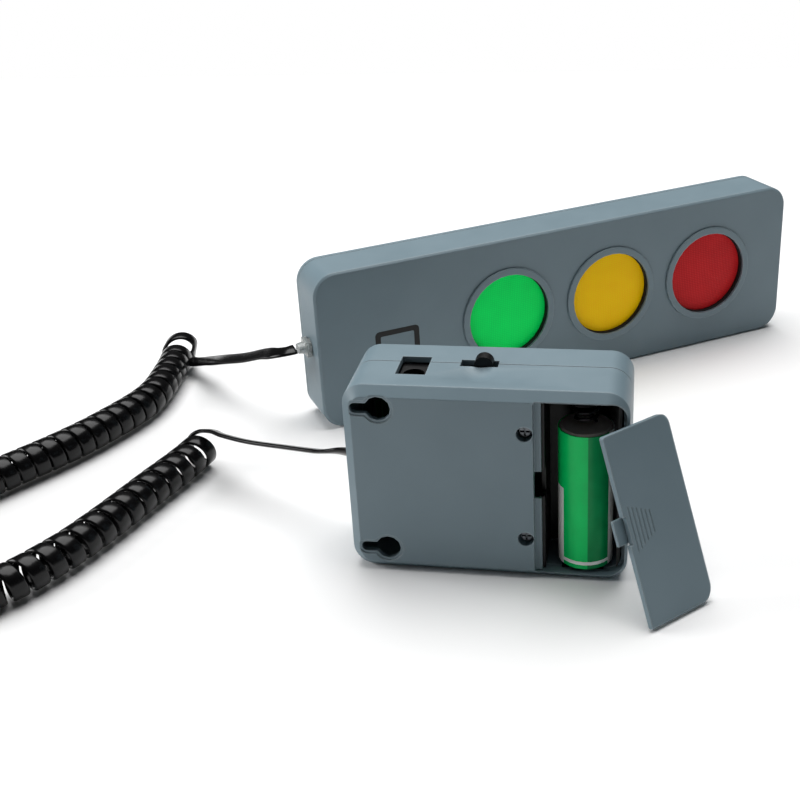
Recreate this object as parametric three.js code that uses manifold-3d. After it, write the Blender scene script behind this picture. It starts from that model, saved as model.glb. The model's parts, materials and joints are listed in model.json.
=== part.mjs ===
// Garage parking aid: a three-light display box and a sensor box joined by a curly cord.
// Millimetres, +Z up. The sensor box stands with its back face (y = 0) towards -Y, its left
// end at x = 0. The display stands behind it, turned by DISPLAY_TURN. The battery door is off
// and leans on the sensor box's right front edge.
import * as THREE from 'three';
import { mergeVertices } from 'three/addons/utils/BufferGeometryUtils.js';
import Module from 'manifold-3d';

const wasm = await Module();
wasm.setup();

// ---------------------------------------------------------------- driving dimensions
const GAP = 0.3;                 // left between pieces that touch
const WALL = 2;
const PANEL = 2.2;               // the sensor box's back wall
const BEYOND = 1;                // how far a cutting block reaches past what it cuts
const ROUND_STEPS = 5;           // straight pieces in a quarter of a rounded corner

const BOX = { width: 87.4, depth: 33.6, height: 65, corner: 7, chamfer: 3, seam: 20.05 };
const DISPLAY = { width: 210, depth: 21.5, height: 64, corner: 9, cover: 2.6 };
const DISPLAY_AT = [-32.5, 91.6, 0];
const DISPLAY_TURN = THREE.MathUtils.degToRad(33.2);

const DOOR = { left: 59.2, right: 86.2, low: 2.2, high: 61.8, thick: 1.9, corner: 5, innerCorner: 0.8 };
const DOOR_RIDGES = { count: 6, first: 2, pitch: 1.5, wide: 0.5, deep: 0.2, half: 7, shorter: 0.7 };
const DOOR_CENTRE_AT = [97.6, -6.6, 28.4];      // middle of the door's outer face, leaning
const DOOR_TURN = THREE.MathUtils.degToRad(46);
const DOOR_LEAN = THREE.MathUtils.degToRad(-22.3);
const LATCH_HEIGHT = 33;
const LATCH_NOTCH = 4.7;                        // half its height

const CELL = { radius: 8.6, x: 74, y: 10.8, low: 2.4, length: 48.1, nub: 0.7 };
const TRAY = { left: 60.6, near: 3.5, far: 22, wall: 1.4 };
const CASE_SCREWS = { x: 56.3, heights: [14.5, 51.4], head: 2.2, shank: 1.3, length: 24 };
const CASE_BOSS = { radius: 3.4, bore: 1.7, recess: 2.5, recessDepth: 4 };
const LEDGE = { left: 57.5, right: 61.1, near: 2.1, far: 3.2 };    // the door's left edge rests on it
const KEYHOLES = [[11.6, 58], [12.1, 8.3]];
const KEYHOLE = { round: 4.05, slot: 1.7, length: 7.1, depth: 4, rim: 0.9, rimDepth: 0.45 };
const JACK = { x: 20.2, y: 17.2, width: 9.4, depth: 12.8 };
const SWITCH = { x: 40.5, slot: 11.8, slotDepth: 4.6, knob: 6, knobRest: 1.4, knobShoulder: 65.1 };
const SCOOP = { radius: 14, right: 0.6, near: 7.2, deep: 1.3 };    // beside the switch, for a thumb
const BUTTON = { x: 30, z: 12, radius: 4 };
const TRANSDUCERS = [['transmitter', 20], ['receiver', 46]];
const TRANSDUCER = { z: 38, radius: 8, length: 9, ring: 9.3, ringDepth: 7, mouth: 5.6 };

const LIGHTS = [['green', 80.2], ['yellow', 126.4], ['red', 172.6]];
const LIGHT_HEIGHT = 32;
const LENS = { radius: 17.1, flange: 19.4, hole: 18.3, front: 2.1, rise: 0.7 };
const COVER_SCREWS = [[8, 8], [202, 8], [8, 56], [202, 56]];
const GLAND = { depth: 11, height: 32, wallHole: 3.5 };
const SENSOR_CORD_EXIT = [0, BOX.seam, 31.5];

const CORD = { width: 6, thick: 2, coil: 13.6 };

// Plain blocks inside the two boxes: where each runs along X, Y and Z.
const MAIN_BOARD = { x: [6, 52], y: [21.8, 23.4], z: [5, 50] };
const CONTROLLER = { x: [14, 24], y: [20.3, 21.5], z: [14, 24] };
const CORD_CONNECTOR = { x: [10, 17], y: [16, 21.5], z: [27, 35] };
const SPRING_PLATE = { x: [67, 80], y: [4.6, 18.6], z: [61.9, 62.4] };
const BATTERY_CONTACT = { x: [67, 80], y: [4.6, 18.6], z: [2.05, 2.25] };
const BUTTON_SWITCH = { x: [27.5, 32.5], y: [23.7, 29.4], z: [9.5, 14.5] };
const LED_BOARD = { x: [14, 196], y: [10.3, 11.9], z: [12, 52] };
const LED_DRIVER = { x: [40, 50], y: [8.8, 10], z: [28, 34] };
const DISPLAY_CONNECTOR = { x: [22, 29], y: [6, 10], z: [28, 36] };
const CAPACITOR = { x: 44, z: 20, radius: 3.1, near: 13.5, far: 21.5 };
const COVER_HANGERS = { x: [45, 165], z: 44 };
const COVER_POSTS = { x: [45, 165], z: 22, radius: 2.5, near: 12.2 };

// ---------------------------------------------------------------- colours
const paint = (color, roughness = 0.55, metalness = 0) =>
  new THREE.MeshStandardMaterial({ color, roughness, metalness });
const GREY_PLASTIC = 0x58656d;
const BLACK_PLASTIC = 0x141517;
const STEEL = 0x9a9da0;

// ---------------------------------------------------------------- booleans
function toSolid(geometry) {
  const clean = geometry.clone();
  clean.deleteAttribute('normal');
  clean.deleteAttribute('uv');
  const welded = mergeVertices(clean, 1e-4);
  const mesh = new wasm.Mesh({
    numProp: 3,
    vertProperties: new Float32Array(welded.attributes.position.array),
    triVerts: new Uint32Array(welded.index.array),
  });
  mesh.merge();
  return new wasm.Manifold(mesh);
}

function toGeometry(solid) {
  const mesh = solid.getMesh();
  const geometry = new THREE.BufferGeometry();
  geometry.setAttribute('position', new THREE.BufferAttribute(mesh.vertProperties, 3));
  geometry.setIndex(new THREE.BufferAttribute(mesh.triVerts, 1));
  geometry.computeVertexNormals();
  return geometry;
}

const cut = (body, ...tools) =>
  toGeometry(tools.reduce((solid, tool) => solid.subtract(toSolid(tool)), toSolid(body)));
const join = (body, ...more) =>
  toGeometry(more.reduce((solid, piece) => solid.add(toSolid(piece)), toSolid(body)));
const common = (body, ...limits) =>
  toGeometry(limits.reduce((solid, limit) => solid.intersect(toSolid(limit)), toSolid(body)));

// ---------------------------------------------------------------- shapes
function roundedRect(left, low, right, high, r) {
  const shape = new THREE.Shape();
  shape.moveTo(left + r, low);
  shape.lineTo(right - r, low);
  shape.absarc(right - r, low + r, r, -Math.PI / 2, 0, false);
  shape.lineTo(right, high - r);
  shape.absarc(right - r, high - r, r, 0, Math.PI / 2, false);
  shape.lineTo(left + r, high);
  shape.absarc(left + r, high - r, r, Math.PI / 2, Math.PI, false);
  shape.lineTo(left, low + r);
  shape.absarc(left + r, low + r, r, Math.PI, Math.PI * 1.5, false);
  return shape;
}

// An outline in X and Z, extruded along +Y from `near` to `far`, with an optional chamfer.
function alongY(shape, near, far, chamfer = 0) {
  const geometry = new THREE.ExtrudeGeometry(shape, {
    depth: far - near - 2 * chamfer,
    curveSegments: ROUND_STEPS,
    bevelEnabled: chamfer > 0,
    bevelThickness: chamfer,
    bevelSize: chamfer,
    bevelOffset: -chamfer,
    bevelSegments: 1,
  });
  geometry.translate(0, 0, chamfer - far);
  geometry.rotateX(Math.PI / 2);
  return geometry;
}

function block(x0, y0, z0, x1, y1, z1) {
  const geometry = new THREE.BoxGeometry(x1 - x0, y1 - y0, z1 - z0);
  geometry.translate((x0 + x1) / 2, (y0 + y1) / 2, (z0 + z1) / 2);
  return geometry;
}

// A round bar along Y (or along Z or X), from `near` to `far`.
function barY(x, z, radius, near, far, sides = 20) {
  const geometry = new THREE.CylinderGeometry(radius, radius, far - near, sides);
  geometry.translate(x, (near + far) / 2, z);
  return geometry;
}

function barZ(x, y, radius, low, high, sides = 20) {
  const geometry = new THREE.CylinderGeometry(radius, radius, high - low, sides);
  geometry.rotateX(Math.PI / 2);
  geometry.translate(x, y, (low + high) / 2);
  return geometry;
}

// A turned piece: profile points are [radius, distance], and distance runs along +Y.
function turned(profile, x, z, sides = 24) {
  const points = profile.map(([radius, distance]) => new THREE.Vector2(radius, distance));
  const geometry = new THREE.LatheGeometry(points, sides);
  geometry.translate(x, 0, z);
  return geometry;
}

const slab = ({ x, y, z }) => block(x[0], y[0], z[0], x[1], y[1], z[1]);

function named(name, geometry, material) {
  const mesh = new THREE.Mesh(geometry, material);
  mesh.name = name;
  return mesh;
}

// A block with a chamfered near face and lightly broken far edges.
function casing({ width, height, corner, depth }, nearChamfer, farChamfer) {
  const spare = 20;
  const outline = roundedRect(0, 0, width, height, corner);
  const near = alongY(outline, 0, depth + spare, nearChamfer);
  const far = alongY(outline, -spare, depth, farChamfer);
  return common(near, far);
}

// A keyhole's outline: a round hole with a slot that ends in a half circle on its left.
function keyholeOutline(x, z, grow = 0) {
  const round = KEYHOLE.round + grow;
  const slot = KEYHOLE.slot + grow;
  const tip = x - KEYHOLE.length;
  const meet = Math.asin(slot / round);
  const shape = new THREE.Shape();
  shape.moveTo(tip, z - slot);
  shape.lineTo(x - round * Math.cos(meet), z - slot);
  shape.absarc(x, z, round, Math.PI + meet, Math.PI * 3 - meet, false);
  shape.lineTo(tip, z + slot);
  shape.absarc(tip, z, slot, Math.PI / 2, Math.PI * 1.5, false);
  return shape;
}

// ---------------------------------------------------------------- sensor box
const sensor = new THREE.Group();
const GREY = () => paint(GREY_PLASTIC);
const boxOuter = casing(BOX, BOX.chamfer, 1);

// The door's outline: nearly square corners on its left and rounded ones on its right.
function doorOutline(grow) {
  const { corner, innerCorner } = DOOR;
  const left = DOOR.left - grow;
  const right = DOOR.right + grow;
  const low = DOOR.low - grow;
  const high = DOOR.high + grow;
  const shape = new THREE.Shape();
  shape.moveTo(left + innerCorner, low);
  shape.lineTo(right - corner, low);
  shape.absarc(right - corner, low + corner, corner, -Math.PI / 2, 0, false);
  shape.lineTo(right, high - corner);
  shape.absarc(right - corner, high - corner, corner, 0, Math.PI / 2, false);
  shape.lineTo(left + innerCorner, high);
  shape.absarc(left + innerCorner, high - innerCorner, innerCorner, Math.PI / 2, Math.PI, false);
  shape.lineTo(left, low + innerCorner);
  shape.absarc(left + innerCorner, low + innerCorner, innerCorner, Math.PI, Math.PI * 1.5, false);
  return shape;
}

function sensorCavity(inset = WALL) {
  const outline = roundedRect(inset, inset, BOX.width - inset, BOX.height - inset, BOX.corner - inset);
  return alongY(outline, PANEL, BOX.depth - WALL);
}

function jackOpening() {
  const half = JACK.width / 2;
  const deep = JACK.depth / 2;
  const x = JACK.x;
  return block(x - half, JACK.y - deep, BOX.height - 5, x + half, JACK.y + deep, BOX.height + 5);
}

function switchSlot() {
  const half = SWITCH.slot / 2;
  const deep = SWITCH.slotDepth / 2;
  const x = SWITCH.x;
  return block(x - half, BOX.seam - deep, BOX.height - 5, x + half, BOX.seam + deep, BOX.height + 5);
}

function thumbScoop() {
  const { radius, right, near, deep } = SCOOP;
  const scoop = new THREE.SphereGeometry(radius, 24, 24);
  scoop.translate(SWITCH.x + right, BOX.seam - near, BOX.height + radius - deep);
  return scoop;
}

function sensorCordHole() {
  const hole = new THREE.CylinderGeometry(GLAND.wallHole, GLAND.wallHole, 10, 20);
  hole.rotateZ(Math.PI / 2);
  hole.translate(...SENSOR_CORD_EXIT);
  return hole;
}

// The notch in the ledge that the door's latch hooks through.
function latchNotch() {
  const low = LATCH_HEIGHT - LATCH_NOTCH;
  const high = LATCH_HEIGHT + LATCH_NOTCH;
  return block(DOOR.left - GAP, LEDGE.near - 1, low, LEDGE.right + 1, LEDGE.far + 1, high);
}

function sensorBackShell() {
  const seam = BOX.seam - GAP / 2;
  const half = common(boxOuter, block(-1, -1, -1, BOX.width + 1, seam, BOX.height + 1));
  const hollow = cut(half, sensorCavity());
  const { x, heights } = CASE_SCREWS;
  const { radius, bore, recess, recessDepth } = CASE_BOSS;
  const bosses = heights.map((z) => barY(x, z, radius, PANEL - 0.5, seam));
  const recesses = heights.map((z) => barY(x, z, recess, -BEYOND, recessDepth));
  const bores = heights.map((z) => barY(x, z, bore, 3, seam + BEYOND, 12));
  const { rim, rimDepth, depth } = KEYHOLE;
  const holes = KEYHOLES.map(([at, z]) => alongY(keyholeOutline(at, z), -BEYOND, depth));
  const rims = KEYHOLES.map(([at, z]) => alongY(keyholeOutline(at, z, rim), -BEYOND, rimDepth));
  const opening = alongY(doorOutline(GAP), -1, 6);
  const opened = cut(join(hollow, ...bosses), opening);
  const ledge = block(LEDGE.left, LEDGE.near, DOOR.low, LEDGE.right, LEDGE.far, DOOR.high);
  const body = join(opened, ledge);
  const openings = [jackOpening(), switchSlot(), thumbScoop(), sensorCordHole(), latchNotch()];
  return cut(body, ...recesses, ...bores, ...holes, ...rims, ...openings);
}

function sensorFrontShell() {
  const seam = BOX.seam + GAP / 2;
  const half = common(boxOuter, block(-1, seam, -1, BOX.width + 1, BOX.depth + 1, BOX.height + 1));
  const hollow = cut(half, sensorCavity());
  const wallInside = BOX.depth - WALL;
  const { x, heights } = CASE_SCREWS;
  const { radius, bore } = CASE_BOSS;
  const bosses = heights.map((z) => barY(x, z, radius - 0.4, seam, wallInside + 0.5));
  const bores = heights.map((z) => barY(x, z, bore, seam - BEYOND, wallInside - 2, 12));
  const { z: windowZ, ring } = TRANSDUCER;
  const window = (at) => barY(at, windowZ, ring + 0.4, BOX.depth - 5, BOX.depth + BEYOND, 28);
  const windows = TRANSDUCERS.map(([, at]) => window(at));
  const buttonHole = barY(BUTTON.x, BUTTON.z, BUTTON.radius + GAP, BOX.depth - 5, BOX.depth + 1);
  const openings = [jackOpening(), switchSlot(), sensorCordHole(), buttonHole];
  return cut(join(hollow, ...bosses), ...bores, ...windows, ...openings);
}

// The open tub behind the door: a left wall with the latch notch, a right wall and a floor.
function batteryTray() {
  const { left, near, far, wall } = TRAY;
  const right = BOX.width;
  const high = BOX.height;
  const tub = block(left, near, 0, right, far, high);
  const inside = block(left + wall, near - 1, 0, right - WALL - wall, far - wall, high);
  const low = LATCH_HEIGHT - LATCH_NOTCH;
  const notch = block(left - 1, near - 1, low, left + wall + 1, near + 4, LATCH_HEIGHT + LATCH_NOTCH);
  return common(cut(tub, inside, notch), sensorCavity(WALL + GAP));
}

function batteryDoor() {
  const { right, left, thick } = DOOR;
  const plate = alongY(doorOutline(0), 0.05, thick);
  const flush = common(plate, boxOuter);
  const ridges = [];
  const { count, first, pitch, wide, deep, half, shorter } = DOOR_RIDGES;
  for (let i = 0; i < count; i += 1) {
    const x = left + first + i * pitch;
    const reach = half - i * shorter;
    ridges.push(block(x, -1, LATCH_HEIGHT - reach, x + wide, deep, LATCH_HEIGHT + reach));
  }
  const relief = block(left - 1, -1, LATCH_HEIGHT - 4.4, left + 0.9, thick + 1, LATCH_HEIGHT + 4.4);
  const rib = block(right - 5, thick - 0.1, 14, right - 4, thick + 0.9, 50);
  return cut(join(flush, rib), relief, ...ridges);
}

// The spring tongue that hooks behind the panel beside the opening.
function doorLatch() {
  const { left, thick } = DOOR;
  const side = 3.9;
  const low = LATCH_HEIGHT - side;
  const high = LATCH_HEIGHT + side;
  const root = block(left + 2.2, thick + GAP, low, left + 6, thick + GAP + 1.1, high);
  const tongue = block(left - 2.6, thick + GAP, low, left + 2.4, thick + GAP + 1.1, high);
  return join(root, tongue);
}

// Both door pieces are drawn in the fitted place, then carried to where the door leans.
function leaning(...pieces) {
  const door = new THREE.Group();
  const middle = new THREE.Vector3((DOOR.left + DOOR.right) / 2, 0, (DOOR.low + DOOR.high) / 2);
  const turn = new THREE.Euler(DOOR_LEAN, 0, DOOR_TURN, 'ZXY');
  door.position.set(...DOOR_CENTRE_AT);
  door.rotation.copy(turn);
  for (const piece of pieces) {
    piece.position.copy(middle).negate();
    door.add(piece);
  }
  return door;
}

function batteryCell() {
  const { radius, low, length, nub } = CELL;
  const profile = [
    [0, low], [2.8, low], [2.8, low + nub], [radius - 1, low + nub], [radius - 0.4, low + nub + 0.6],
    [radius - 0.4, low + length - 0.6], [radius - 1, low + length], [0, low + length],
  ];
  const geometry = turned(profile, 0, 0, 24);
  geometry.rotateX(Math.PI / 2);
  geometry.translate(CELL.x, CELL.y, 0);
  return geometry;
}

function batterySleeve() {
  const { x, y, radius, low, length, nub } = CELL;
  const outer = barZ(x, y, radius, low + nub + 0.1, low + length - 0.5, 24);
  const inner = barZ(x, y, radius - 0.35, low, low + length, 24);
  return cut(outer, inner);
}

class Helix extends THREE.Curve {
  constructor(x, y, low, high, rWide, rNarrow, turns) {
    super();
    Object.assign(this, { x, y, low, high, rWide, rNarrow, turns });
  }

  getPoint(t, target = new THREE.Vector3()) {
    const angle = t * this.turns * 2 * Math.PI;
    const radius = THREE.MathUtils.lerp(this.rNarrow, this.rWide, t);
    const height = THREE.MathUtils.lerp(this.low, this.high, t);
    return target.set(this.x + radius * Math.cos(angle), this.y + radius * Math.sin(angle), height);
  }
}

function batterySpring() {
  const low = CELL.low + CELL.length + 0.9;
  const coil = new Helix(CELL.x, CELL.y, low, 60.9, 6, 3, 3.5);
  const wire = new THREE.Shape();
  wire.absarc(0, 0, 0.5, 0, Math.PI * 2, false);
  return new THREE.ExtrudeGeometry(wire, { steps: 35, curveSegments: 3, extrudePath: coil });
}

function dcJack() {
  const { x, y, width, depth } = JACK;
  const half = width / 2 - GAP;
  const deep = depth / 2 - GAP;
  const body = block(x - half, y - deep, 51, x + half, y + deep, BOX.height - 2.4);
  const socket = barZ(x, y - 0.6, 3.3, 54, BOX.height + 1, 24);
  return cut(body, socket);
}

function switchBody() {
  const { x } = SWITCH;
  const y = BOX.seam;
  const can = block(x - 6, y - 2.6, 54.5, x + 6, y + 2.6, 60.6);
  const track = block(x - 4.4, y - 1.2, 57.5, x + 4.4, y + 1.2, 61);
  return cut(can, track);
}

function switchKnob() {
  const x = SWITCH.x + SWITCH.knobRest;
  const y = BOX.seam;
  const half = SWITCH.knob / 2;
  const top = new THREE.Shape();
  top.moveTo(x - half, 61.3);
  top.lineTo(x + half, 61.3);
  top.lineTo(x + half, SWITCH.knobShoulder);
  top.absarc(x, SWITCH.knobShoulder, half, 0, Math.PI, false);
  const slider = alongY(top, y - 1.9, y + 1.9);
  return join(slider, block(x - 1.4, y - 0.8, 58.2, x + 1.4, y + 0.8, 61.6));
}

function transducer(x) {
  const { z, radius, length, mouth } = TRANSDUCER;
  const far = BOX.depth - 0.4;
  const profile = [[0, far - length], [radius, far - length], [radius, far - 0.4],
    [radius - 0.4, far], [mouth, far], [mouth, far - 0.8], [0, far - 0.8]];
  return turned(profile, x, z, 24);
}

function transducerRing(x) {
  const inner = TRANSDUCER.radius + GAP;
  const far = BOX.depth + 0.5;
  const { ring, ringDepth } = TRANSDUCER;
  const near = far - ringDepth;
  const profile = [[inner, near], [ring, near], [ring, far], [inner, far], [inner, near]];
  return turned(profile, x, TRANSDUCER.z, 24);
}

// A pan-head screw along +Y with a cross recess in its head.
function screw(x, z, near, length, head, shank) {
  const profile = [[0, near], [head - 0.5, near], [head, near + 0.6], [head, near + 1.6],
    [shank, near + 1.6], [shank, near + length - 1], [0.3, near + length], [0, near + length]];
  const body = turned(profile, x, z, 12);
  const across = block(x - 1.5, near - 1, z - 0.3, x + 1.5, near + 0.8, z + 0.3);
  const upright = block(x - 0.3, near - 1, z - 1.5, x + 0.3, near + 0.8, z + 1.5);
  return cut(body, across, upright);
}

// A strain relief in a wall whose outside faces -X: flange, collar and inner flange.
function gland(nose) {
  const flange = block(-2.2, -3.5, -3, -GAP, 3.5, 3);
  const collar = new THREE.CylinderGeometry(3.2, 3.2, 5, 20);
  collar.rotateZ(Math.PI / 2);
  collar.translate(1.2, 0, 0);
  const inner = new THREE.CylinderGeometry(4.4, 4.4, 1.4, 20);
  inner.rotateZ(Math.PI / 2);
  inner.translate(3.1, 0, 0);
  const snout = new THREE.CylinderGeometry(3.3, 2.7, nose, 16);
  snout.rotateZ(-Math.PI / 2);
  snout.scale(1, 1, 0.72);
  snout.translate(-2.2 - nose / 2 + 0.1, 0, 0);
  return join(flange, collar, inner, snout);
}

sensor.add(named('sensor_back_shell', sensorBackShell(), GREY()));
sensor.add(named('sensor_front_shell', sensorFrontShell(), GREY()));
sensor.add(named('battery_tray', batteryTray(), paint(BLACK_PLASTIC)));
sensor.add(leaning(
  named('battery_door', batteryDoor(), GREY()),
  named('door_latch', doorLatch(), GREY()),
));
sensor.add(named('battery_cell', batteryCell(), paint(0x2a2422, 0.35, 0.6)));
sensor.add(named('battery_sleeve', batterySleeve(), paint(0x009146, 0.35)));
sensor.add(named('battery_spring', batterySpring(), paint(STEEL, 0.3, 1)));
sensor.add(named('battery_spring_plate', slab(SPRING_PLATE), paint(STEEL, 0.3, 1)));
sensor.add(named('battery_contact', slab(BATTERY_CONTACT), paint(STEEL, 0.3, 1)));
sensor.add(named('main_board', slab(MAIN_BOARD), paint(0x1f5a38, 0.5)));
sensor.add(named('controller_chip', slab(CONTROLLER), paint(0x101010)));
const { x: canX, z: canZ, radius: canRadius, near: canNear, far: canFar } = CAPACITOR;
sensor.add(named('board_capacitor', barY(canX, canZ, canRadius, canNear, canFar), paint(0x1c2a4a, 0.4)));
sensor.add(named('cord_connector', slab(CORD_CONNECTOR), paint(0xe6e2d6, 0.5)));
sensor.add(named('dc_jack', dcJack(), paint(BLACK_PLASTIC, 0.4)));
sensor.add(named('dc_jack_pin', barZ(JACK.x, JACK.y - 0.6, 1, 54 + GAP, 60, 12), paint(STEEL, 0.3, 1)));
sensor.add(named('switch_body', switchBody(), paint(STEEL, 0.4, 1)));
sensor.add(named('switch_knob', switchKnob(), paint(BLACK_PLASTIC, 0.5)));
sensor.add(named('set_button_switch', slab(BUTTON_SWITCH), paint(BLACK_PLASTIC)));
sensor.add(named('set_button', join(
  barY(BUTTON.x, BUTTON.z, BUTTON.radius, 31, BOX.depth + 1.4),
  barY(BUTTON.x, BUTTON.z, BUTTON.radius + 1.2, 30.2, 31.2),
), paint(0xb8302a, 0.45)));
for (const [name, x] of TRANSDUCERS) {
  sensor.add(named(`ultrasonic_${name}`, transducer(x), paint(STEEL, 0.35, 1)));
  sensor.add(named(`${name}_ring`, transducerRing(x), paint(BLACK_PLASTIC, 0.8)));
}
for (const [i, z] of CASE_SCREWS.heights.entries()) {
  const { x, length, head, shank } = CASE_SCREWS;
  const shape = screw(x, z, 2.1, length, head, shank);
  sensor.add(named(`case_screw_${i + 1}`, shape, paint(STEEL, 0.35, 1)));
}
const sensorGland = named('sensor_cord_gland', gland(1.2), paint(0xcfd0cc, 0.4));
sensorGland.position.set(...SENSOR_CORD_EXIT);
sensor.add(sensorGland);

// ---------------------------------------------------------------- display box
const display = new THREE.Group();
display.position.set(...DISPLAY_AT);
display.rotation.z = DISPLAY_TURN;
const displayOuter = casing(DISPLAY, 0.8, 0.8);
const coverSeam = DISPLAY.depth - DISPLAY.cover;

function displayFrontShell() {
  const { width, height, corner } = DISPLAY;
  const body = common(displayOuter, block(-1, -1, -1, width + 1, coverSeam - GAP, height + 1));
  const outline = roundedRect(WALL, WALL, width - WALL, height - WALL, corner - WALL);
  const bosses = COVER_SCREWS.map(([x, z]) => barY(x, z, 3.4, 1, coverSeam - GAP, 16));
  const bores = COVER_SCREWS.map(([x, z]) => barY(x, z, 1.6, 6, coverSeam + 1, 12));
  const windows = LIGHTS.map(([, x]) => barY(x, LIGHT_HEIGHT, LENS.hole, -1, WALL + 1, 32));
  const glandHole = new THREE.CylinderGeometry(GLAND.wallHole, GLAND.wallHole, 10, 20);
  glandHole.rotateZ(Math.PI / 2);
  glandHole.translate(0, GLAND.depth, GLAND.height);
  const hollow = cut(body, alongY(outline, WALL, DISPLAY.depth));
  return cut(common(join(hollow, ...bosses), displayOuter), ...bores, ...windows, glandHole);
}

function displayBackCover() {
  const { width, height } = DISPLAY;
  const plate = common(displayOuter, block(-1, coverSeam, -1, width + 1, DISPLAY.depth + 1, height + 1));
  const screwHoles = COVER_SCREWS.map(([x, z]) => barY(x, z, 1.6, 15, 25, 12));
  const sinks = COVER_SCREWS.map(([x, z]) => barY(x, z, 2.9, DISPLAY.depth - 1.9, 25, 16));
  const hangers = COVER_HANGERS.x.map((x) => {
    const keyhole = alongY(keyholeOutline(0, 0), 15, 25);
    keyhole.rotateY(Math.PI / 2);
    keyhole.translate(x, 0, COVER_HANGERS.z);
    return keyhole;
  });
  const { z: postZ, radius, near } = COVER_POSTS;
  const posts = COVER_POSTS.x.map((x) => barY(x, postZ, radius, near, coverSeam + 0.5, 12));
  return cut(join(plate, ...posts), ...screwHoles, ...sinks, ...hangers);
}

function lensBezel(x) {
  const { hole, radius } = LENS;
  const inner = radius + GAP;
  const profile = [[inner, -0.9], [19.8, -0.9], [20.1, -0.6], [20.1, -GAP], [hole - GAP, -GAP],
    [hole - GAP, 1.9], [inner, 1.9], [inner, -0.9]];
  return turned(profile, x, LIGHT_HEIGHT, 32);
}

// A lens is a shallow dome with a flange that sits behind the front wall.
function lens(x) {
  const { radius, flange, front, rise } = LENS;
  const profile = [[0, front - rise]];
  for (let i = 1; i <= 3; i += 1) {
    const along = (i / 3) * Math.PI / 2;
    profile.push([radius * Math.sin(along), front - rise * Math.cos(along) ** 2]);
  }
  profile.push([radius, WALL + GAP], [flange, WALL + GAP], [flange, 3.6], [0, 3.6]);
  return turned(profile, x, LIGHT_HEIGHT, 32);
}

function ledBoard() {
  const board = slab(LED_BOARD);
  const corners = [[30, 40], [100, 14]].map(([x, z]) => barY(x, z, 1.6, 9, 13, 12));
  return cut(board, ...corners);
}

function led(x, z) {
  const profile = [[0, 10], [2.5, 10], [2.5, 6.4], [1.8, 5], [0, 4.5]];
  return turned(profile.reverse(), x, z, 10);
}

display.add(named('display_front_shell', displayFrontShell(), GREY()));
display.add(named('display_back_cover', displayBackCover(), GREY()));
const LIGHT_COLOURS = { green: 0x12a04a, yellow: 0xd99a10, red: 0xc22222 };
for (const [colour, x] of LIGHTS) {
  display.add(named(`bezel_${colour}`, lensBezel(x), GREY()));
  display.add(named(`lens_${colour}`, lens(x), paint(LIGHT_COLOURS[colour], 0.25)));
  for (const [i, side] of [-1, 0, 1].entries()) {
    const height = LIGHT_HEIGHT + (side === 0 ? 6 : -4);
    display.add(named(`led_${colour}_${i + 1}`, led(x + side * 7.5, height), paint(0xe8ece8, 0.2)));
  }
}
display.add(named('led_board', ledBoard(), paint(0x1f5a38, 0.5)));
display.add(named('led_driver', slab(LED_DRIVER), paint(0x101010)));
display.add(named('display_connector', slab(DISPLAY_CONNECTOR), paint(0xe6e2d6, 0.5)));
for (const [i, [x, z]] of COVER_SCREWS.entries()) {
  const shape = screw(x, z, 0, 11, 2.5, 1.3);
  shape.rotateZ(Math.PI);
  shape.translate(2 * x, DISPLAY.depth - 0.1, 0);
  display.add(named(`cover_screw_${i + 1}`, shape, paint(STEEL, 0.35, 1)));
}
const cordGland = named('cord_gland', gland(2.8), paint(0xd8dad6, 0.3));
cordGland.position.set(0, GLAND.depth, GLAND.height);
display.add(cordGland);

// ---------------------------------------------------------------- cord
// Hand-chosen route: out of the display, down to the table, along it, round a turn and back.
const DISPLAY_LEAD = [
  [-43.5, 97.5, 32], [-46.3, 95.8, 31.8], [-51.5, 96.8, 30.4], [-58, 102.4, 27.4], [-69, 110.2, 21.8],
  [-81.4, 119.6, 16.2], [-91, 129, 11], [-98, 136, 7.6],
];
const COIL_LINE = [
  [-111, 143.5, 7.2], [-108, 122, 7.2], [-107.8, 99, 7.2], [-117.3, 72.8, 7.2], [-126.7, 55.2, 7.2],
  [-136.4, 40.5, 7.2], [-149, 22, 7.2], [-162.2, 2.9, 7.2], [-168, -21.4, 7.2], [-154.9, -42.8, 7.2],
  [-130.5, -48.7, 7.2], [-109.1, -35.6, 7.2], [-95.8, -14.6, 7.2], [-88.7, 3.8, 7.2],
  [-80.8, 29.9, 7.2], [-74.6, 50, 7.2], [-71.6, 63.5, 7.2],
];
const SENSOR_LEAD = [
  [-66, 58.6, 15.6], [-59.3, 52.6, 17.4], [-46.8, 43.9, 20.2], [-30.2, 35.6, 23.4],
  [-16.2, 26.8, 27.4], [-9.8, 21.8, 30.4], [-6.4, 20.3, 31.4], [-3.7, 20.05, 31.5],
];

function alongRoute(section, points, steps, curveSegments = 2) {
  const route = new THREE.CatmullRomCurve3(points.map((point) => new THREE.Vector3(...point)));
  return new THREE.ExtrudeGeometry(section, { steps, curveSegments, extrudePath: route });
}

function flatSection() {
  const round = CORD.thick / 2;
  const straight = CORD.width / 2 - round;
  const section = new THREE.Shape();
  section.moveTo(-round, -straight);
  section.absarc(0, -straight, round, Math.PI, Math.PI * 2, false);
  section.absarc(0, straight, round, 0, Math.PI, false);
  return section;
}

function roundSection() {
  const section = new THREE.Shape();
  section.absarc(0, 0, CORD.coil / 2, 0, Math.PI * 2, false);
  return section;
}

const BLACK_CORD = () => paint(0x0e0e10, 0.4);
const cords = new THREE.Group();
cords.add(named('cord_lead_display', alongRoute(flatSection(), DISPLAY_LEAD, 16), BLACK_CORD()));
cords.add(named('curly_cord', alongRoute(roundSection(), COIL_LINE, 56, 5), BLACK_CORD()));
cords.add(named('cord_lead_sensor', alongRoute(flatSection(), SENSOR_LEAD, 16), BLACK_CORD()));

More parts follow.
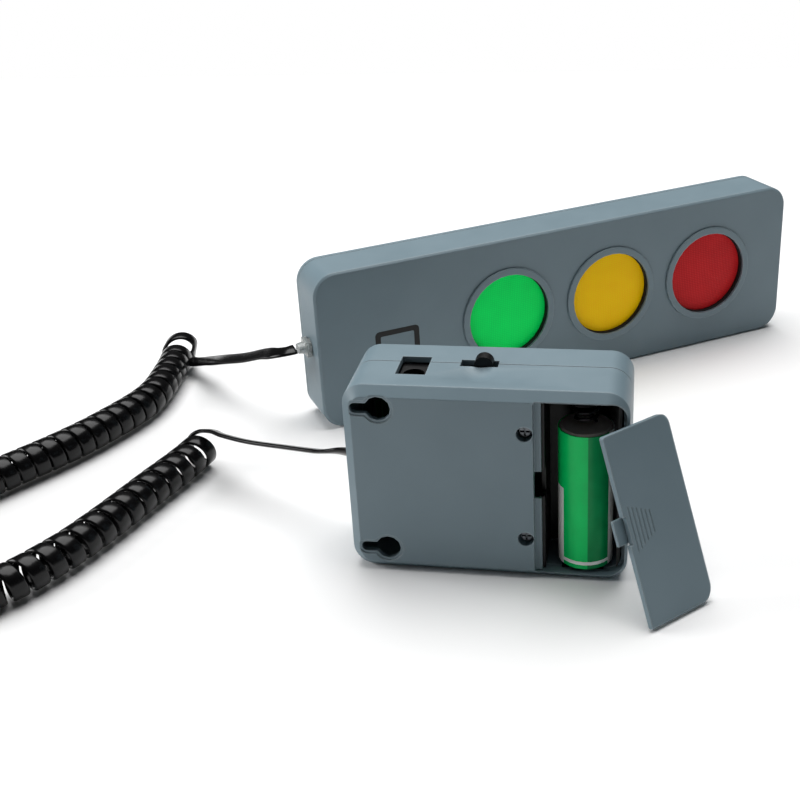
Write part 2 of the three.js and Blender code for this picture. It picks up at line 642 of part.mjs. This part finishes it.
// ---------------------------------------------------------------- the whole
// The origin is under the middle of the two boxes and the door; the cord is left out of it.
const rigid = new THREE.Group();
rigid.add(sensor, display);
rigid.updateMatrixWorld(true);
const bounds = new THREE.Box3().setFromObject(rigid, true);
const middle = bounds.getCenter(new THREE.Vector3());
const part = new THREE.Group();
part.add(rigid, cords);
part.position.set(-middle.x, -middle.y, -bounds.min.z);
part.updateMatrixWorld(true);

export default part;
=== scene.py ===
"""Garage parking aid: a three-light display box and a sensor box on a curly cord.

Lengths are in metres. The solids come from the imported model; this script adds the curly
cord, the small surface details, the materials, the light and the camera.
"""

import json
import math

import bpy
from mathutils import Matrix, Vector


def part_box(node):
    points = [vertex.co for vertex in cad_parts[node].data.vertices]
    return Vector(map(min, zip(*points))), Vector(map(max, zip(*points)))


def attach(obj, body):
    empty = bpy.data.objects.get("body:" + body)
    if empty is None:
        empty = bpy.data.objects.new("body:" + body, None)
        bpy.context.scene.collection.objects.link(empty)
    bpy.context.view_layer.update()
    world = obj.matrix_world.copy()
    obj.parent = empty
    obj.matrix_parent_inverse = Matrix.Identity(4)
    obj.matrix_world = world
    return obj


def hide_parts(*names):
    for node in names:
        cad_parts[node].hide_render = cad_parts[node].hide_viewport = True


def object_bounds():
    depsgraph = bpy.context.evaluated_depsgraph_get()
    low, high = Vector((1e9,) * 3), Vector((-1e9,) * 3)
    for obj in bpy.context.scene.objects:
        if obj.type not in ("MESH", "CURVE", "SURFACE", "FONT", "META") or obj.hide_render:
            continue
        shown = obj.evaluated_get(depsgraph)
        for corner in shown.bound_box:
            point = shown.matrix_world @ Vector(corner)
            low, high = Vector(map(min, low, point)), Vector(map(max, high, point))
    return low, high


MM = 0.001
ROOT = "housings"

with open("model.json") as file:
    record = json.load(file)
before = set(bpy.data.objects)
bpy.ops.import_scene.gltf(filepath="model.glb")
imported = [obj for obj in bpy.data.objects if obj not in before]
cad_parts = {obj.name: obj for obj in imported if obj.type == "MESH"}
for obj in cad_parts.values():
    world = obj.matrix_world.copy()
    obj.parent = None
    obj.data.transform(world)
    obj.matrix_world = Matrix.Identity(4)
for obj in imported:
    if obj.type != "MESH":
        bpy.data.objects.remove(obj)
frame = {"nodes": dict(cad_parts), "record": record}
size_of_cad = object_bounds()

# The sensor box's lowest corner is the origin that the route points below are measured from.
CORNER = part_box("sensor_back_shell")[0]


def place(x, y, z):
    """A point given in millimetres from the sensor box's corner, in the row frame."""
    return CORNER + Vector((x, y, z)) * MM


# ---------------------------------------------------------------- camera
CAMERA_AT = place(98.3, -344.8, 237.3)
CAMERA_RIGHT = Vector((0.97898, 0.19557, -0.05781))
CAMERA_UP = Vector((-0.03657, 0.44724, 0.89366))
LENS_LENGTH = 59.05
SENSOR_WIDTH = 36


def make_camera():
    """The camera that looks at the model as the photographer did."""
    data = bpy.data.cameras.new("camera")
    data.lens = LENS_LENGTH
    data.sensor_width = SENSOR_WIDTH
    data.clip_start = 0.01
    data.clip_end = 20
    camera = bpy.data.objects.new("camera", data)
    bpy.context.scene.collection.objects.link(camera)
    back = CAMERA_RIGHT.cross(CAMERA_UP)
    turn = Matrix((CAMERA_RIGHT, CAMERA_UP, back)).transposed()
    camera.matrix_world = Matrix.Translation(CAMERA_AT) @ turn.to_4x4()
    bpy.context.scene.camera = camera


# ---------------------------------------------------------------- mesh helpers
def mesh_piece(name, points, faces, material, body=ROOT, smooth=True):
    """A new mesh object made of these points and faces, riding on a body."""
    mesh = bpy.data.meshes.new(name)
    mesh.from_pydata([tuple(p) for p in points], [], faces)
    mesh.validate()
    mesh.update()
    for polygon in mesh.polygons:
        polygon.use_smooth = smooth
    piece = bpy.data.objects.new(name, mesh)
    bpy.context.scene.collection.objects.link(piece)
    mesh.materials.append(material)
    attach(piece, body)
    return piece


# ---------------------------------------------------------------- the cord's route
# Out of the display, down to the table, along it in a coil, round a turn and back.
DISPLAY_LEAD = [
    (-43.5, 97.5, 32), (-46.3, 95.8, 31.8), (-51.5, 96.8, 30.4), (-58, 102.4, 27.4),
    (-69, 110.2, 21.8), (-81.4, 119.6, 16.2), (-91, 129, 11), (-98, 136, 7.6),
]
COIL_LINE = [
    (-111, 143.5, 7.2), (-108, 122, 7.2), (-107.8, 99, 7.2), (-117.3, 72.8, 7.2),
    (-126.7, 55.2, 7.2), (-136.4, 40.5, 7.2), (-149, 22, 7.2), (-162.2, 2.9, 7.2),
    (-168, -21.4, 7.2), (-154.9, -42.8, 7.2), (-130.5, -48.7, 7.2), (-109.1, -35.6, 7.2),
    (-95.8, -14.6, 7.2), (-88.7, 3.8, 7.2), (-80.8, 29.9, 7.2), (-74.6, 50, 7.2),
    (-71.6, 63.5, 7.2),
]
SENSOR_LEAD = [
    (-66, 58.6, 15.6), (-59.3, 52.6, 17.4), (-46.8, 43.9, 20.2), (-30.2, 35.6, 23.4),
    (-16.2, 26.8, 27.4), (-9.8, 21.8, 30.4), (-6.4, 20.3, 31.4), (-3.7, 20.05, 31.5),
]
# The last bend of the display's lead, up into the side of the coil's first turn.
ELBOW = [(-105.4, 142.5, 4.4), (-106.3, 148.0, 5.4)]

CORD_WIDTH = 6.0
CORD_THICK = 2.0
CROWN = 0.45                   # how far the broad sides bulge in the middle
COIL_RADIUS = 5.8              # to the middle of the cord
PITCH_START = 6.5              # the display's half is wound closer
PITCH_END = 7.3
FIRST_GAP = 5.0                # the first turn stands off from the second by this much more
FIRST_TURN = 0.8               # turns over which it does
FIRST_SWELL = 0.6              # and it is wider by this much
PITCH_CHANGE = (0.4, 0.6)      # the share of the way where the pitch changes
POINTS_PER_TURN = 20
FIRST_ANGLE = -75              # degrees from the top of the first turn
ROUTE_STEP = 0.25              # between the points that the turns are laid out along
CORD_STEP = 0.8                # between rings of the mesh
CORD_SIDES = 16                # points round each ring

# Which way the flat cord's broad side runs, at shares of each lead.
DISPLAY_LEAD_BROAD = [(0.0, (-0.18, 0.96, 0.18)), (1.0, (-0.07, 1, 0))]
SENSOR_LEAD_BROAD = [(0.0, (0.2, -0.87, 0.45)), (0.6, (0.2, -0.87, 0.45)),
                     (1.0, (0.2, -0.62, 0.75))]
LAST_TWIST = 8                 # coil points over which the cord turns to the lead's direction


def spline(points, step):
    """Points about `step` apart on a centripetal Catmull-Rom curve through the given ones."""
    ends = [2 * points[0] - points[1]] + list(points) + [2 * points[-1] - points[-2]]
    made = []
    for i in range(len(points) - 1):
        p0, p1, p2, p3 = ends[i:i + 4]
        t1 = max((p1 - p0).length, 1e-9) ** 0.5
        t2 = t1 + max((p2 - p1).length, 1e-9) ** 0.5
        t3 = t2 + max((p3 - p2).length, 1e-9) ** 0.5
        count = max(1, round((p2 - p1).length / step))
        for k in range(count):
            t = t1 + (t2 - t1) * k / count
            a1 = p0 * ((t1 - t) / t1) + p1 * (t / t1)
            a2 = p1 * ((t2 - t) / (t2 - t1)) + p2 * ((t - t1) / (t2 - t1))
            a3 = p2 * ((t3 - t) / (t3 - t2)) + p3 * ((t - t2) / (t3 - t2))
            b1 = a1 * ((t2 - t) / t2) + a2 * (t / t2)
            b2 = a2 * ((t3 - t) / (t3 - t1)) + a3 * ((t - t1) / (t3 - t1))
            made.append(b1 * ((t2 - t) / (t2 - t1)) + b2 * ((t - t1) / (t2 - t1)))
    made.append(Vector(points[-1]))
    return made


def eased(t):
    """0 to 1 with a soft start and end."""
    return t * t * (3 - 2 * t)


def between(keys, share):
    """The value at a share of the way, from a list of (share, vector) pairs."""
    for (a, first), (b, second) in zip(keys, keys[1:]):
        if share <= b:
            t = (share - a) / (b - a)
            return Vector(first).lerp(Vector(second), eased(t))
    return Vector(keys[-1][1])


def coil_points():
    """The coil's turns about COIL_LINE: points and the broad side's direction at each."""
    line = spline([Vector(p) for p in COIL_LINE], ROUTE_STEP)
    steps = [(b - a).length for a, b in zip(line, line[1:])]
    total = sum(steps)
    start, end = PITCH_CHANGE
    turns = [0.0]                     # how many turns have been made at each point
    travelled = 0.0
    for step in steps:
        travelled += step
        t = min(1, max(0, (travelled / total - start) / (end - start)))
        pitch = PITCH_START + (PITCH_END - PITCH_START) * t
        turns.append(turns[-1] + step / pitch)
    first = FIRST_ANGLE / 360
    whole = round(turns[-1] + first) - first       # ends at the top of a turn
    stretch = whole / turns[-1]
    up = Vector((0, 0, 1))
    made = []
    index = 0
    for k in range(round(whole * POINTS_PER_TURN) + 1):
        wanted = k / POINTS_PER_TURN / stretch
        while index < len(turns) - 2 and turns[index + 1] < wanted:
            index += 1
        share = (wanted - turns[index]) / (turns[index + 1] - turns[index])
        centre = line[index].lerp(line[index + 1], min(1, share))
        ahead = (line[index + 1] - line[index]).normalized()
        side = ahead.cross(up)
        angle = 2 * math.pi * (first + k / POINTS_PER_TURN)
        out = up * math.cos(angle) + side * math.sin(angle)
        loose = eased(max(0, 1 - k / POINTS_PER_TURN / FIRST_TURN))
        centre = centre - ahead * FIRST_GAP * loose + up * FIRST_SWELL * loose
        made.append((centre + (COIL_RADIUS + FIRST_SWELL * loose) * out, -ahead))
    for i in range(LAST_TWIST):
        point, broad = made[-1 - i]
        made[-1 - i] = (point, broad.lerp(Vector(SENSOR_LEAD_BROAD[0][1]), 1 - i / LAST_TWIST))
    return made


def cord_centres():
    """Every ring's centre and broad direction, from the display to the sensor box."""
    lead = [Vector(p) for p in DISPLAY_LEAD[:-1] + ELBOW]
    back = [Vector(p) for p in SENSOR_LEAD]
    knots = [(p, between(DISPLAY_LEAD_BROAD, i / (len(lead) - 1))) for i, p in enumerate(lead)]
    knots += coil_points()
    knots += [(p, between(SENSOR_LEAD_BROAD, i / (len(back) - 1))) for i, p in enumerate(back)]
    centres = spline([p for p, broad in knots], CORD_STEP)
    broads = spline_values(knots, CORD_STEP)
    return centres, broads


def spline_values(knots, step):
    """The broad directions at the same places as spline() makes its points."""
    made = []
    for (p, first), (q, second) in zip(knots, knots[1:]):
        count = max(1, round((q - p).length / step))
        made += [first.lerp(second, k / count) for k in range(count)]
    made.append(knots[-1][1])
    return made


def cord_section():
    """The flat section's outline: (across, through) pairs."""
    radius = CORD_THICK / 2
    straight = CORD_WIDTH / 2 - radius
    outline = []
    for k in range(CORD_SIDES):
        angle = 2 * math.pi * (k + 0.5) / CORD_SIDES
        across = math.copysign(straight, math.cos(angle)) + radius * math.cos(angle)
        bulge = CROWN * (1 - (across / (CORD_WIDTH / 2)) ** 2)
        through = (radius - CROWN) * math.sin(angle) + math.copysign(bulge, math.sin(angle))
        outline.append((across, through))
    return outline


def make_cord(material):
    """The whole cord in one piece, in place of the model's three plain stretches."""
    centres, broads = cord_centres()
    outline = cord_section()
    points = []
    for i, centre in enumerate(centres):
        ahead = (centres[min(i + 1, len(centres) - 1)] - centres[max(i - 1, 0)]).normalized()
        broad = (broads[i] - broads[i].dot(ahead) * ahead).normalized()
        through = ahead.cross(broad)
        points += [place(*(centre + a * broad + t * through)) for a, t in outline]
    faces = []
    for i in range(len(centres) - 1):
        for k in range(CORD_SIDES):
            a = i * CORD_SIDES + k
            b = i * CORD_SIDES + (k + 1) % CORD_SIDES
            faces.append((a, b, b + CORD_SIDES, a + CORD_SIDES))
    last = (len(centres) - 1) * CORD_SIDES
    faces.append(tuple(reversed(range(CORD_SIDES))))
    faces.append(tuple(range(last, last + CORD_SIDES)))
    cord = mesh_piece("curly_cord_moulded", points, faces, material)
    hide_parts("cord_lead_display", "curly_cord", "cord_lead_sensor")


# ---------------------------------------------------------------- materials
# Noise scales are in waves per metre, and bump distances and edge radii are in metres.
def linear(red, green, blue):
    """A colour given as 0 to 255 screen values, as the shader wants it."""
    def one(value):
        share = value / 255
        return share / 12.92 if share <= 0.04045 else ((share + 0.055) / 1.055) ** 2.4
    return (one(red), one(green), one(blue), 1)


MOTTLE = (0.3, 0.7)               # the noise values at which two mottled colours are pure
EDGE_SAMPLES = 6
EDGE_GAIN = 4.0                   # how quickly a rounded edge counts as worn


class Nodes:
    """A material's node tree with short calls for the nodes that are used often."""

    def __init__(self, name):
        self.material = bpy.data.materials.new(name)
        self.material.use_nodes = True
        self.tree = self.material.node_tree
        self.shader = self.tree.nodes["Principled BSDF"]
        coordinates = self.tree.nodes.new("ShaderNodeTexCoord")
        self.where = coordinates.outputs["Object"]

    def link(self, source, target):
        self.tree.links.new(source, target)

    def shader_value(self, **values):
        for key, value in values.items():
            self.shader.inputs[key.replace("_", " ")].default_value = value

    def noise(self, scale, detail=2):
        node = self.tree.nodes.new("ShaderNodeTexNoise")
        node.inputs["Scale"].default_value = scale
        node.inputs["Detail"].default_value = detail
        self.link(self.where, node.inputs["Vector"])
        return node.outputs["Fac"]

    def math(self, operation, first, second=None, third=None):
        """A sum on values or outputs, by Blender's name for the operation."""
        node = self.tree.nodes.new("ShaderNodeMath")
        node.operation = operation
        for socket, value in zip(node.inputs, (first, second, third)):
            if value is None:
                continue
            if isinstance(value, (int, float)):
                socket.default_value = value
            else:
                self.link(value, socket)
        return node.outputs["Value"]

    def ramp(self, source, *stops):
        """A colour ramp; each stop is (position, colour)."""
        node = self.tree.nodes.new("ShaderNodeValToRGB")
        elements = node.color_ramp.elements
        while len(elements) < len(stops):
            elements.new(0.5)
        for element, (position, colour) in zip(elements, stops):
            element.position = position
            element.color = colour
        self.link(source, node.inputs["Fac"])
        return node.outputs["Color"]

    def mottled(self, source, first, second):
        """Two close colours that run into each other with the noise."""
        low, high = MOTTLE
        return self.ramp(source, (low, first), (high, second))

    def mix(self, share, first, second):
        """Two colours mixed by a share; each of the three is a value or an output."""
        node = self.tree.nodes.new("ShaderNodeMix")
        node.data_type = "RGBA"
        for name, value in (("Factor", share), ("A", first), ("B", second)):
            socket = [s for s in node.inputs if s.name == name and s.enabled][0]
            if isinstance(value, (int, float, tuple)):
                socket.default_value = value
            else:
                self.link(value, socket)
        return [s for s in node.outputs if s.enabled][0]

    def spread(self, source, low, high):
        """Carries 0..1 to low..high."""
        node = self.tree.nodes.new("ShaderNodeMapRange")
        node.inputs["To Min"].default_value = low
        node.inputs["To Max"].default_value = high
        self.link(source, node.inputs["Value"])
        return node.outputs["Result"]

    def colour(self, source):
        self.link(source, self.shader.inputs["Base Color"])

    def roughness(self, source):
        self.link(source, self.shader.inputs["Roughness"])

    def bump(self, height, distance, strength, rounded=0.0):
        """Bump of that distance in metres, over edges rounded in shading by `rounded`."""
        node = self.tree.nodes.new("ShaderNodeBump")
        node.inputs["Distance"].default_value = distance
        node.inputs["Strength"].default_value = strength
        self.link(height, node.inputs["Height"])
        if rounded:
            self.link(self.rounded_normal(rounded), node.inputs["Normal"])
        self.link(node.outputs["Normal"], self.shader.inputs["Normal"])

    def rounded_normal(self, radius):
        node = self.tree.nodes.new("ShaderNodeBevel")
        node.samples = EDGE_SAMPLES
        node.inputs["Radius"].default_value = radius
        return node.outputs["Normal"]

    def edge(self, radius):
        """Near 1 along sharp edges and 0 on flat faces."""
        geometry = self.tree.nodes.new("ShaderNodeNewGeometry")
        dot = self.tree.nodes.new("ShaderNodeVectorMath")
        dot.operation = "DOT_PRODUCT"
        self.link(self.rounded_normal(radius), dot.inputs[0])
        self.link(geometry.outputs["Normal"], dot.inputs[1])
        flat = dot.outputs["Value"]
        return self.math("MULTIPLY", self.math("SUBTRACT", 1.0, flat), EDGE_GAIN)


def grey_plastic():
    """The housings' grey: fine grain, faint clouds, and edges that are worn a little paler."""
    made = Nodes("grey_moulded_plastic")
    cloud = made.noise(45, 3)
    fine = made.noise(2600, 2)
    base = made.mottled(cloud, linear(105, 124, 133), linear(110, 129, 138))
    wear = made.math("MULTIPLY", made.edge(0.0009), made.noise(260, 3))
    made.colour(made.mix(wear, base, linear(158, 172, 178)))
    made.roughness(made.spread(made.noise(180, 3), 0.4, 0.52))
    made.bump(fine, 0.00003, 0.55, rounded=0.0006)
    return made.material


def moulded_plastic(name, light, dark, low=0.35, high=0.5):
    """Plain moulded plastic, with roughness from `low` to `high`."""
    made = Nodes(name)
    made.shader_value(Specular_IOR_Level=0.3)
    made.colour(made.mottled(made.noise(90, 3), light, dark))
    made.roughness(made.spread(made.noise(300, 3), low, high))
    made.bump(made.noise(1800, 2), 0.00003, 0.5, rounded=0.0004)
    return made.material


def metal(name, light, dark, low=0.22, high=0.42):
    """Bare metal with a fine grain."""
    made = Nodes(name)
    made.shader_value(Metallic=1.0)
    grain = made.noise(900, 4)
    made.colour(made.mottled(grain, light, dark))
    made.roughness(made.spread(made.noise(500, 3), low, high))
    made.bump(grain, 0.00002, 0.4, rounded=0.0002)
    return made.material


def cord_rubber():
    """The cord's glossy black jacket."""
    made = Nodes("cord_black_jacket")
    made.colour(made.mottled(made.noise(120, 3), linear(5, 5, 6), linear(9, 9, 10)))
    made.shader_value(Specular_IOR_Level=0.24)
    made.roughness(made.spread(made.noise(500, 3), 0.18, 0.28))
    made.bump(made.noise(1500, 2), 0.00003, 0.4)
    return made.material


DISPLAY_TURN = math.radians(33.2)
DISPLAY_AT = Vector((-32.5, 91.6, 0))
PRISM = 0.0016                    # width of one prism on a lens, in metres
PRISM_DEPTH = 0.00012
LENS_PAINTED_GLOW = 0.1                   # painted glow: emission that brightens the lens as if lit through, with no light behind it


def lens_material(name, bright, deep):
    """Coloured plastic with a grid of small prisms that follows the display's face; each prism has
    painted light and shade, and the lens has a painted glow.
    """
    made = Nodes(name)
    along = made.tree.nodes.new("ShaderNodeMapping")
    along.vector_type = "POINT"
    along.inputs["Rotation"].default_value = (0, 0, -DISPLAY_TURN)
    made.link(made.where, along.inputs["Vector"])
    split = made.tree.nodes.new("ShaderNodeSeparateXYZ")
    made.link(along.outputs["Vector"], split.inputs["Vector"])
    waves = []
    for axis in ("X", "Z"):
        phase = made.math("MULTIPLY", split.outputs[axis], 2 * math.pi / PRISM)
        waves.append(made.math("ABSOLUTE", made.math("SINE", phase)))
    relief = made.math("MULTIPLY", waves[0], waves[1])
    cloud = made.spread(made.noise(160, 3), 0.6, 1.2)
    # painted light and shade: each prism is painted lighter in its middle and darker along the
    # grid's grooves
    painted_prism_shade = made.math("MULTIPLY", made.spread(relief, 0.35, 1.0), cloud)
    made.colour(made.ramp(painted_prism_shade, (0.15, deep), (0.75, bright)))
    made.shader_value(Specular_IOR_Level=0.1)
    # painted glow: the lens gives off light in its own colour
    made.shader_value(Emission_Color=bright, Emission_Strength=LENS_PAINTED_GLOW)
    made.roughness(made.spread(made.noise(300, 2), 0.32, 0.46))
    made.bump(relief, PRISM_DEPTH, 0.35)
    return made.material


def circuit_board():
    """Green board with a fine grid of paler tracks."""
    made = Nodes("circuit_board")
    brick = made.tree.nodes.new("ShaderNodeTexBrick")
    brick.inputs["Scale"].default_value = 260
    brick.inputs["Mortar Size"].default_value = 0.06
    brick.inputs["Color1"].default_value = linear(24, 82, 48)
    brick.inputs["Color2"].default_value = linear(28, 92, 54)
    brick.inputs["Mortar"].default_value = linear(58, 122, 76)
    made.link(made.where, brick.inputs["Vector"])
    made.colour(brick.outputs["Color"])
    made.roughness(made.spread(made.noise(400, 2), 0.3, 0.45))
    made.bump(brick.outputs["Fac"], 0.00003, 0.5)
    return made.material


def translucent(name, colour):
    """Cloudy see-through plastic."""
    made = Nodes(name)
    made.shader_value(IOR=1.5, Transmission_Weight=0.55)
    made.colour(made.mottled(made.noise(300, 3), colour, linear(236, 240, 238)))
    made.roughness(made.spread(made.noise(500, 3), 0.18, 0.34))
    made.bump(made.noise(900, 3), 0.00006, 0.5, rounded=0.0003)
    return made.material


# Where the painted shade on the cell's sleeve starts and where its pale border lines run, in metres.
LABEL = {"shaded_side_from": 0.0012, "left": 0.0022, "left_top": 0.004, "right": 0.0014,
         "base": 0.002, "base_half": 0.0006}


def cell_label():
    """The cell's sleeve: green, with painted shade darkening the side that faces away from the
    light, and a pale border on three sides.
    """
    made = Nodes("cell_sleeve_green")
    low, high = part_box("battery_sleeve")
    middle = (low + high) / 2
    split = made.tree.nodes.new("ShaderNodeSeparateXYZ")
    made.link(made.where, split.inputs["Vector"])
    # painted shade: past this line the sleeve takes the darker green, where it turns from the light
    side = made.math("GREATER_THAN", split.outputs["X"], middle.x + LABEL["shaded_side_from"])
    green = made.mottled(made.noise(120, 3), linear(0, 208, 104), linear(0, 218, 110))
    deep = made.mottled(made.noise(160, 3), linear(2, 142, 78), linear(4, 152, 84))
    green_with_painted_shade = made.mix(side, green, deep)
    line_low = made.math("COMPARE", split.outputs["Z"], low.z + LABEL["base"], LABEL["base_half"])
    left = made.math("LESS_THAN", split.outputs["X"], low.x + LABEL["left"])
    under = made.math("LESS_THAN", split.outputs["Z"], middle.z + LABEL["left_top"])
    left_line = made.math("MULTIPLY", left, under)
    right_line = made.math("GREATER_THAN", split.outputs["X"], high.x - LABEL["right"])
    lines = made.math("MAXIMUM", line_low, made.math("MAXIMUM", left_line, right_line))
    made.colour(made.mix(lines, green_with_painted_shade, linear(250, 252, 248)))
    made.shader_value(Specular_IOR_Level=0.2)
    made.roughness(made.spread(made.noise(240, 2), 0.26, 0.4))
    made.bump(made.noise(300, 3), 0.00004, 0.4)
    return made.material


MATERIALS = {
    "grey_plastic": grey_plastic(),
    "black_plastic": moulded_plastic("black_plastic", linear(4, 4, 5), linear(8, 8, 9)),
    "rubber_black": moulded_plastic(
        "rubber_black", linear(22, 22, 23), linear(30, 30, 31), 0.6, 0.8),
    "chip_black": moulded_plastic(
        "chip_black", linear(14, 14, 16), linear(22, 22, 24), 0.5, 0.65),
    "ivory_plastic": moulded_plastic(
        "ivory_plastic", linear(226, 220, 204), linear(236, 231, 218)),
    "button_red": moulded_plastic("button_red", linear(168, 36, 30), linear(182, 44, 36)),
    "capacitor_blue": moulded_plastic(
        "capacitor_blue", linear(28, 42, 82), linear(36, 52, 96), 0.25, 0.4),
    "screw_steel": metal("screw_steel", linear(96, 100, 104), linear(116, 120, 124), 0.34, 0.5),
    # painted shade: plated steel darkened to near black so the parts inside the battery bay and jack
    # read as dark as the shade there
    "plated_steel": metal("plated_steel", linear(30, 30, 31), linear(44, 44, 45), 0.3, 0.45),
    "transducer_can": metal("transducer_can", linear(150, 152, 155), linear(184, 186, 188)),
    # painted light: the cell top is given a far paler colour than its own, standing in for light
    # that does not reach it inside the bay
    "cell_can": moulded_plastic("cell_can", linear(172, 162, 156), linear(186, 176, 170), 0.4, 0.55),
    "cell_sleeve": cell_label(),
    "circuit_board": circuit_board(),
    "led_resin": translucent("led_resin", linear(214, 222, 220)),
    "clear_nylon": translucent("clear_nylon", linear(186, 192, 192)),
    "lens_green": lens_material("lens_green", linear(0, 248, 106), linear(0, 214, 86)),
    "lens_yellow": lens_material("lens_yellow", linear(255, 208, 2), linear(232, 164, 0)),
    "lens_red": lens_material("lens_red", linear(200, 36, 40), linear(156, 22, 26)),
    "cord_black": cord_rubber(),
}


EDGE_ANGLE = math.radians(32)     # faces that meet at less than this are shaded as one
WELD_WITHIN = 1e-5                # metres


def finish_cad_nodes():
    """Gives every CAD node its material, and smooth shading except across its edges."""
    for part in frame["record"]["subparts"]:
        node = frame["nodes"][part["node"]]
        node.data.materials.clear()
        node.data.materials.append(MATERIALS[part["material_slot"]])
        for polygon in node.data.polygons:
            polygon.use_smooth = True
        weld = node.modifiers.new("weld", "WELD")
        weld.merge_threshold = WELD_WITHIN
        split = node.modifiers.new("split", "EDGE_SPLIT")
        split.split_angle = EDGE_ANGLE


# ---------------------------------------------------------------- details on the display
def display_point(along, deep, high):
    """A point in the display's own frame: along its face, into it and up, in millimetres."""
    turn = Matrix.Rotation(DISPLAY_TURN, 3, "Z")
    return place(*(DISPLAY_AT + turn @ Vector((along, deep, high))))


LIGHTS = {"green": 80.2, "yellow": 126.4, "red": 172.6}
LIGHT_HEIGHT = 32
# The black sleeve of painted shade inside each bezel: its inner and outer radius, its near and far
# depth, and its points round.
SHADE_SLEEVE = {"inner": 17.12, "outer": 17.36, "near": 0.1, "far": 2.2, "sides": 64}


def make_shade_sleeve(colour, along):
    """A thin black sleeve in the gap between a lens and its bezel: painted shade, standing in for
    the shadow in that gap.
    """
    corners = [(SHADE_SLEEVE["inner"], SHADE_SLEEVE["near"]), (SHADE_SLEEVE["outer"], SHADE_SLEEVE["near"]),
               (SHADE_SLEEVE["outer"], SHADE_SLEEVE["far"]), (SHADE_SLEEVE["inner"], SHADE_SLEEVE["far"])]
    sides = SHADE_SLEEVE["sides"]
    points, faces = [], []
    for k in range(sides):
        angle = 2 * math.pi * k / sides
        for radius, deep in corners:
            across, up = radius * math.cos(angle), radius * math.sin(angle)
            points.append(display_point(along + across, deep, LIGHT_HEIGHT + up))
        for c in range(4):
            a, b = 4 * k + c, 4 * k + (c + 1) % 4
            faces.append((a, b, (b + 4) % (4 * sides), (a + 4) % (4 * sides)))
    mesh_piece("lens_shade_sleeve_" + colour, points, faces, MATERIALS["rubber_black"])


# The printed mark: where its outline runs along and up the display's face.
MARK = {"left": 23.2, "right": 41.5, "low": 22.8, "high": 36.7, "line": 2.2, "corner": 1.8}
MARK_PROUD = 0.03              # how far it stands off the face
MARK_INNER_CORNER = 0.3        # its inner corner as a share of the outer one


def rounded_outline(left, low, right, high, corner, steps=6):
    """The points of a rectangle with rounded corners, anticlockwise from its lower right."""
    centres = [(right - corner, low + corner, -90), (right - corner, high - corner, 0),
               (left + corner, high - corner, 90), (left + corner, low + corner, 180)]
    made = []
    for x, z, start in centres:
        for k in range(steps + 1):
            angle = math.radians(start + 90 * k / steps)
            made.append((x + corner * math.cos(angle), z + corner * math.sin(angle)))
    return made


def make_mark():
    """A plain printed outline on the display's face."""
    line, corner = MARK["line"], MARK["corner"]
    outer = rounded_outline(MARK["left"], MARK["low"], MARK["right"], MARK["high"], corner)
    inner = rounded_outline(MARK["left"] + line, MARK["low"] + line, MARK["right"] - line,
                            MARK["high"] - line, corner * MARK_INNER_CORNER)
    count = len(outer)
    points = [display_point(x, -MARK_PROUD, z) for x, z in outer + inner]
    faces = [(k, (k + 1) % count, count + (k + 1) % count, count + k) for k in range(count)]
    mesh_piece("printed_mark", points, faces, MATERIALS["black_plastic"], smooth=False)


# ---------------------------------------------------------------- floor and light
FLOOR_HALF = 0.6
FLOOR_DROP = 0.0002               # below the lowest point of the model


def make_floor():
    """A pale square floor under the model."""
    side = FLOOR_HALF
    mesh = bpy.data.meshes.new("floor")
    corners = [(-side, -side, 0), (side, -side, 0), (side, side, 0), (-side, side, 0)]
    mesh.from_pydata(corners, [], [(0, 1, 2, 3)])
    floor = bpy.data.objects.new("floor", mesh)
    bpy.context.scene.collection.objects.link(floor)
    floor.location.z = size_of_cad[0].z - FLOOR_DROP
    paint = Nodes("floor_paper")
    pale, paler = (0.86, 0.86, 0.86, 1), (0.88, 0.88, 0.88, 1)
    paint.colour(paint.mottled(paint.noise(3, 2), pale, paler))
    paint.shader_value(Roughness=0.9, Specular_IOR_Level=0.1)
    mesh.materials.append(paint.material)


# Each softbox: where its middle is, the length of its sides, and its power in watts.
OVERHEAD = {"at": (0.0, 0.35, 1.3), "side": 1.3, "watts": 27.5}
LEFT = {"at": (-1.15, -0.12, 0.5), "side": 0.6, "watts": 8.5}
WORLD_LIGHT = 0.05                # what the white surroundings add to the light
WORLD_SEEN = 1.0                  # how bright the camera sees them


def area_light(name, box):
    """A square softbox that faces the middle of the floor."""
    data = bpy.data.lights.new(name, "AREA")
    data.shape = "SQUARE"
    data.size = box["side"]
    data.energy = box["watts"]
    light = bpy.data.objects.new(name, data)
    bpy.context.scene.collection.objects.link(light)
    direction = -Vector(box["at"])
    light.rotation_mode = "QUATERNION"
    light.rotation_quaternion = direction.to_track_quat("-Z", "Y")
    light.location = box["at"]


def make_light():
    """Two softboxes, and surroundings that look white but light the model only a little."""
    area_light("overhead_softbox", OVERHEAD)
    area_light("left_softbox", LEFT)
    world = bpy.data.worlds.new("studio")
    world.use_nodes = True
    tree = world.node_tree
    plain = tree.nodes["Background"]
    plain.inputs["Color"].default_value = (1, 1, 1, 1)
    plain.inputs["Strength"].default_value = WORLD_LIGHT
    seen = tree.nodes.new("ShaderNodeBackground")
    seen.inputs["Color"].default_value = (1, 1, 1, 1)
    seen.inputs["Strength"].default_value = WORLD_SEEN
    rays = tree.nodes.new("ShaderNodeLightPath")
    choose = tree.nodes.new("ShaderNodeMixShader")
    tree.links.new(rays.outputs["Is Camera Ray"], choose.inputs[0])
    tree.links.new(plain.outputs[0], choose.inputs[1])
    tree.links.new(seen.outputs[0], choose.inputs[2])
    tree.links.new(choose.outputs[0], tree.nodes["World Output"].inputs["Surface"])
    bpy.context.scene.world = world
    bpy.context.scene.view_settings.view_transform = "Standard"


make_camera()
make_cord(MATERIALS["cord_black"])
finish_cad_nodes()
make_mark()
for light_colour, light_along in LIGHTS.items():
    make_shade_sleeve(light_colour, light_along)
make_floor()
make_light()
